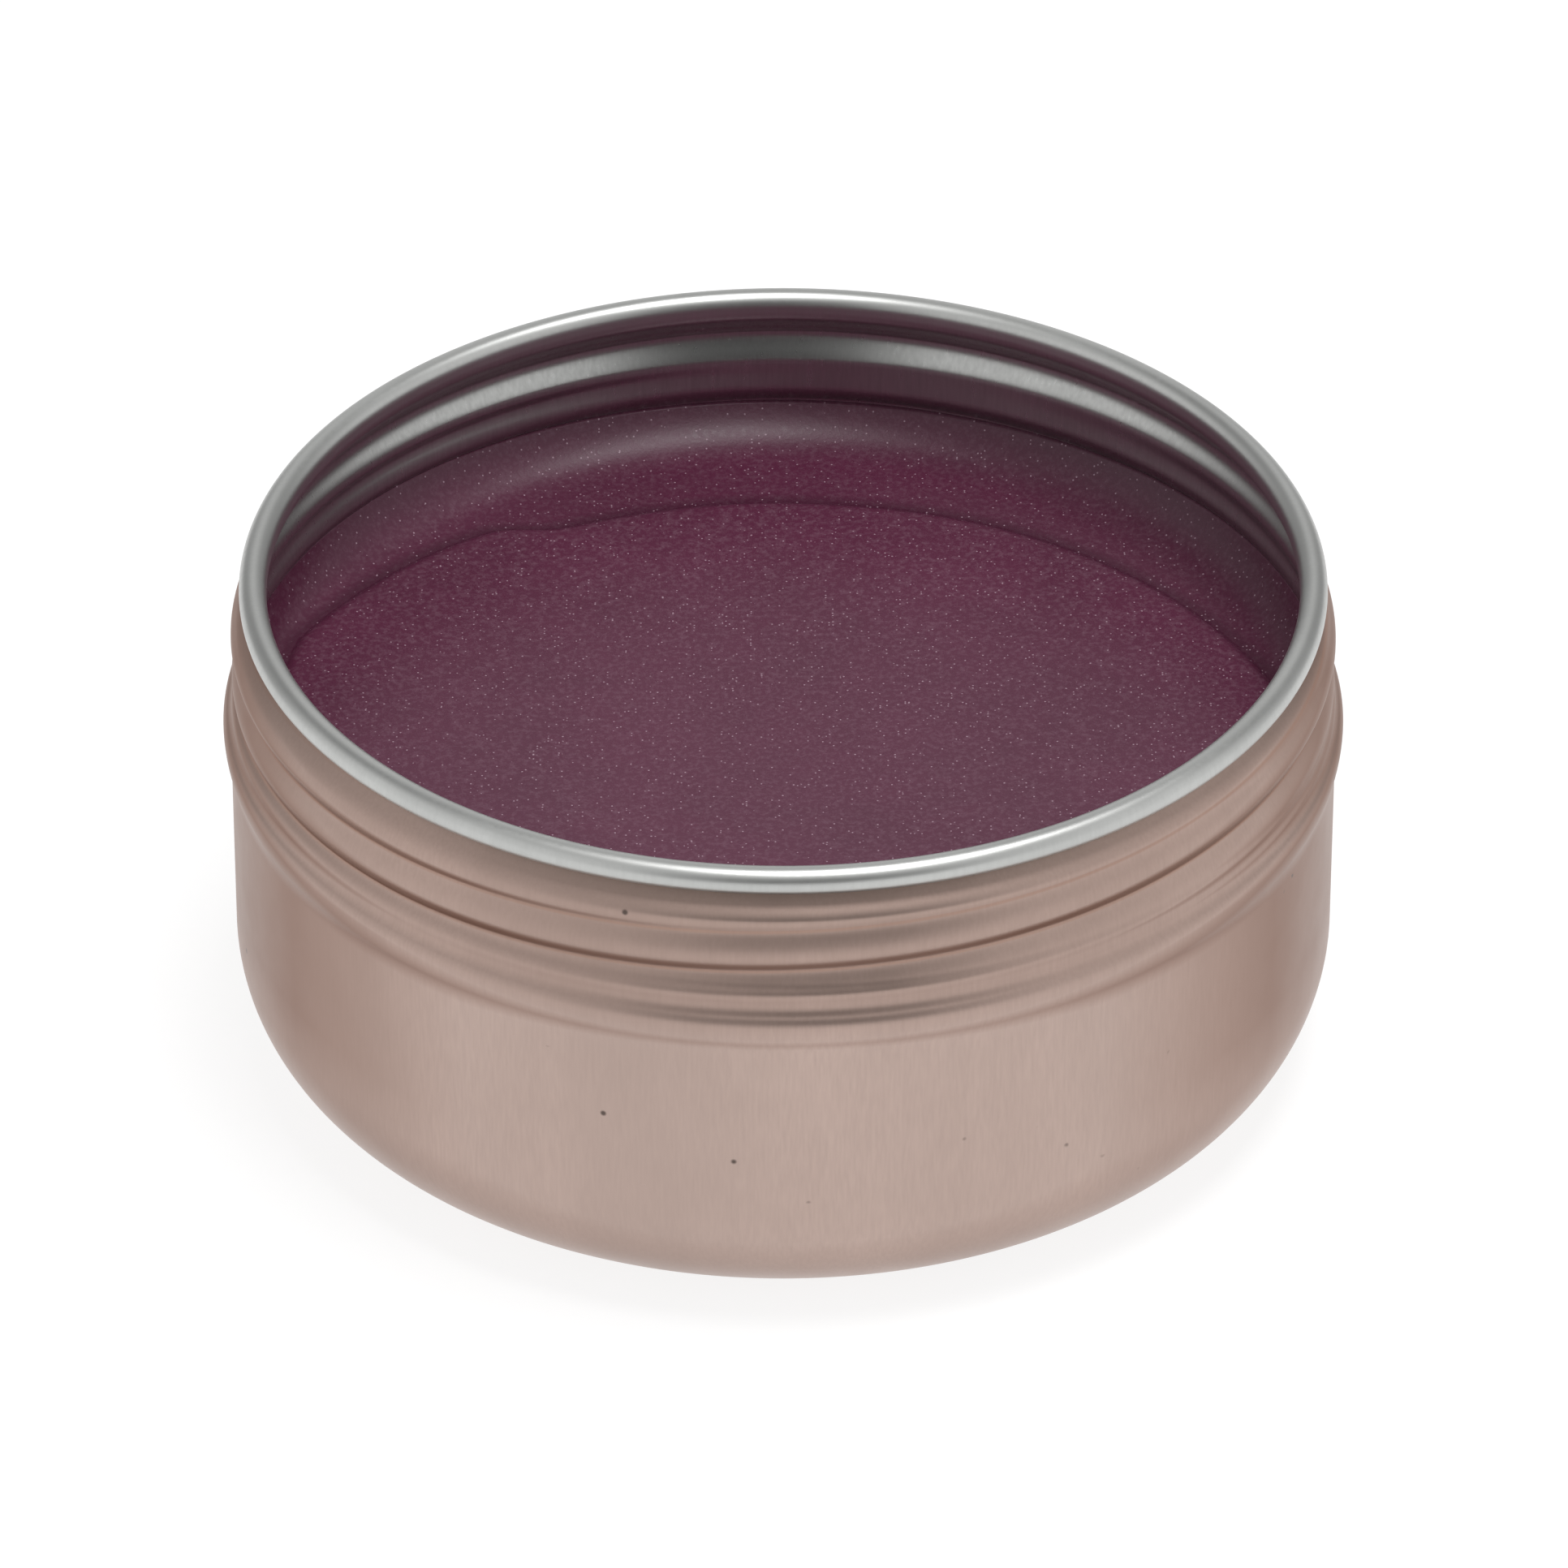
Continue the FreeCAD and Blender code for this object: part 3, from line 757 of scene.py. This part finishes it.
class TIN_OT_wax(bpy.types.Operator):
    """Pour the wax: a closed cake with a raised edge at the wall and a sunken middle"""

    bl_idname = "polish_tin.wax"
    bl_label = "Pour wax"

    def execute(self, context):
        form = TinForm(context.scene.tin_sizes)
        theta = angles()
        r, z = wax_rows(form, context.scene.wax_sizes, theta)
        outside = (r - crease_radius(theta, context.scene.wax_sizes)) / MM
        outside = np.concatenate([outside, outside[:, :1]], axis=1)
        cake = grid_mesh("wax_cake", r, z, theta, np.zeros(len(r)), "crease", outside)
        cake.data.materials.append(wax_material(context.scene.tin_finishes))
        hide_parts("polish")
        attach(cake, "root")
        return {"FINISHED"}


FLOOR_SIZE = 6.0
KEY_PLACE = (0.14, -0.07, 1.0)
KEY_TARGET = (0, 0, 0.02)
KEY_SIZE = (0.5, 0.36)
KEY_POWER = 6.2
CAMERA_AIM = Vector((0.05 * MM, 0, 19.15 * MM))
CAMERA_TILT = math.radians(34.03)
CAMERA_REACH = 0.8
CAMERA_LENS = 263.4
SENSOR = 36


def softbox(name, place, target, size, power):
    """A rectangular area light at a place, turned to face a target."""
    data = bpy.data.lights.new(name, "AREA")
    data.shape = "RECTANGLE"
    data.size, data.size_y = size
    data.energy = power
    light = bpy.data.objects.new(name, data)
    light.rotation_euler = (Vector(target) - Vector(place)).to_track_quat("-Z", "Y").to_euler()
    light.location = place
    bpy.context.collection.objects.link(light)
    return light


def studio_world():
    """A pale surround: bright at the front and sides, darker behind but for a pale gap, and less overhead.

    A dim patch low down in front stands for the dark end of the room, and gives the neck its bands.
    Each ramp runs over a bearing from the front, or over z, the sine of the height above the floor.
    """
    world = bpy.data.worlds.new("pale_studio")
    world.use_nodes = True
    world.node_tree.nodes.clear()
    node = partial(add_node, world.node_tree)
    direction = node("TexCoord", {}, {}, "Generated")
    x, y, z = (node("SeparateXYZ", {}, {0: direction}, axis) for axis in "XYZ")
    front = node("Math", TIMES, {0: y, 1: -1})
    bearing = node("Math", {"operation": "ARCTAN2"}, {0: x, 1: front})

    def between(value, low, high, at_low, at_high):
        """The inputs of a ramp from at_low to at_high."""
        return {"Value": value, "From Min": low, "From Max": high, "To Min": at_low, "To Max": at_high}

    off_patch = node("Math", MINUS, {0: bearing, 1: math.radians(6)})
    off_patch = node("Math", SIZE_OF, {0: off_patch})
    across = node("MapRange", {}, between(off_patch, math.radians(20), math.radians(36), 1, 0))
    patch_low = math.sin(math.radians(30))
    patch_top = math.sin(math.radians(52))
    low = node("MapRange", {}, between(z, patch_low, patch_top, 1, 0))
    dim = node("Math", TIMES, {0: across, 1: low})
    dim = node("Math", TIMES, {0: dim, 1: 0.92})
    lit = node("Math", MINUS, {0: 1, 1: dim})
    turned = node("Math", SIZE_OF, {0: bearing})
    sides = node("MapRange", {}, between(turned, math.radians(100), math.radians(125), 0.95, 0.36))
    gap = node("MapRange", {}, between(turned, math.radians(152), math.radians(172), 0, 0.44))
    around = node("Math", PLUS, {0: sides, 1: gap})
    overhead = node("MapRange", {}, between(z, 0.5, 0.85, 1, 0.55))
    sky = node("Math", TIMES, {0: around, 1: overhead})
    strength = node("Math", TIMES, {0: sky, 1: lit})
    background = node("Background", {}, {"Color": (1, 1, 1, 1), "Strength": strength})
    node("OutputWorld", {}, {"Surface": background})
    return world


def floor_piece(finishes):
    """A square floor that the tin stands on."""
    half = FLOOR_SIZE / 2
    mesh = bpy.data.meshes.new("floor")
    corners = [(-half, -half, 0), (half, -half, 0), (half, half, 0), (-half, half, 0)]
    mesh.from_pydata(corners, [], [(0, 1, 2, 3)])
    mesh.materials.append(floor_material(finishes))
    floor = bpy.data.objects.new("floor", mesh)
    bpy.context.scene.collection.objects.link(floor)
    return floor


def studio_camera():
    """A camera in front of the tin, looking down at it by the tilt, from the reach away."""
    data = bpy.data.cameras.new("camera")
    data.sensor_width = SENSOR
    data.lens = CAMERA_LENS
    data.clip_start = 0.01
    camera = bpy.data.objects.new("camera", data)
    back = Vector((0, -math.cos(CAMERA_TILT), math.sin(CAMERA_TILT)))
    camera.location = CAMERA_AIM + CAMERA_REACH * back
    camera.rotation_euler = (math.radians(90) - CAMERA_TILT, 0, 0)
    bpy.context.scene.collection.objects.link(camera)
    return camera


class TIN_OT_stage(bpy.types.Operator):
    """Lay the pale floor and set the soft lights and the camera"""

    bl_idname = "polish_tin.stage"
    bl_label = "Set stage"

    def execute(self, context):
        scene = context.scene
        floor = floor_piece(scene.tin_finishes)
        scene.world = studio_world()
        softbox("key", KEY_PLACE, KEY_TARGET, KEY_SIZE, KEY_POWER)
        bpy.context.scene.camera = studio_camera()
        scene.view_settings.view_transform = "Standard"
        scene.view_settings.look = "None"
        return {"FINISHED"}


class TIN_PT_panel(bpy.types.Panel):
    """Sizes, colours and making of the polish tin"""

    bl_idname = "TIN_PT_panel"
    bl_label = "Polish Tin"
    bl_space_type = "VIEW_3D"
    bl_region_type = "UI"
    bl_category = "Polish Tin"

    def draw(self, context):
        layout = self.layout
        for group in (context.scene.tin_sizes, context.scene.wax_sizes, context.scene.tin_finishes):
            box = layout.box()
            for name in group.__annotations__:
                box.prop(group, name)
        for step in (TIN_OT_cup, TIN_OT_wax, TIN_OT_stage):
            layout.operator(step.bl_idname)


CLASSES = (TinSizes, WaxSizes, Finishes, TIN_OT_cup, TIN_OT_wax, TIN_OT_stage, TIN_PT_panel)


def register():
    """Add the classes, and the three groups of settings to the scene."""
    for item in CLASSES:
        bpy.utils.register_class(item)
    bpy.types.Scene.tin_sizes = bpy.props.PointerProperty(type=TinSizes)
    bpy.types.Scene.wax_sizes = bpy.props.PointerProperty(type=WaxSizes)
    bpy.types.Scene.tin_finishes = bpy.props.PointerProperty(type=Finishes)


def unregister():
    """Take them away again."""
    del bpy.types.Scene.tin_finishes
    del bpy.types.Scene.wax_sizes
    del bpy.types.Scene.tin_sizes
    for item in reversed(CLASSES):
        bpy.utils.unregister_class(item)


def plain(box):
    """A box's two corners as lists of numbers."""
    return [[float(c) for c in corner] for corner in box]


def main():
    """Make the tin, its wax and the stage."""
    register()
    bpy.ops.polish_tin.cup()
    bpy.ops.polish_tin.wax()
    bpy.ops.polish_tin.stage()


if __name__ == "__main__":
    main()
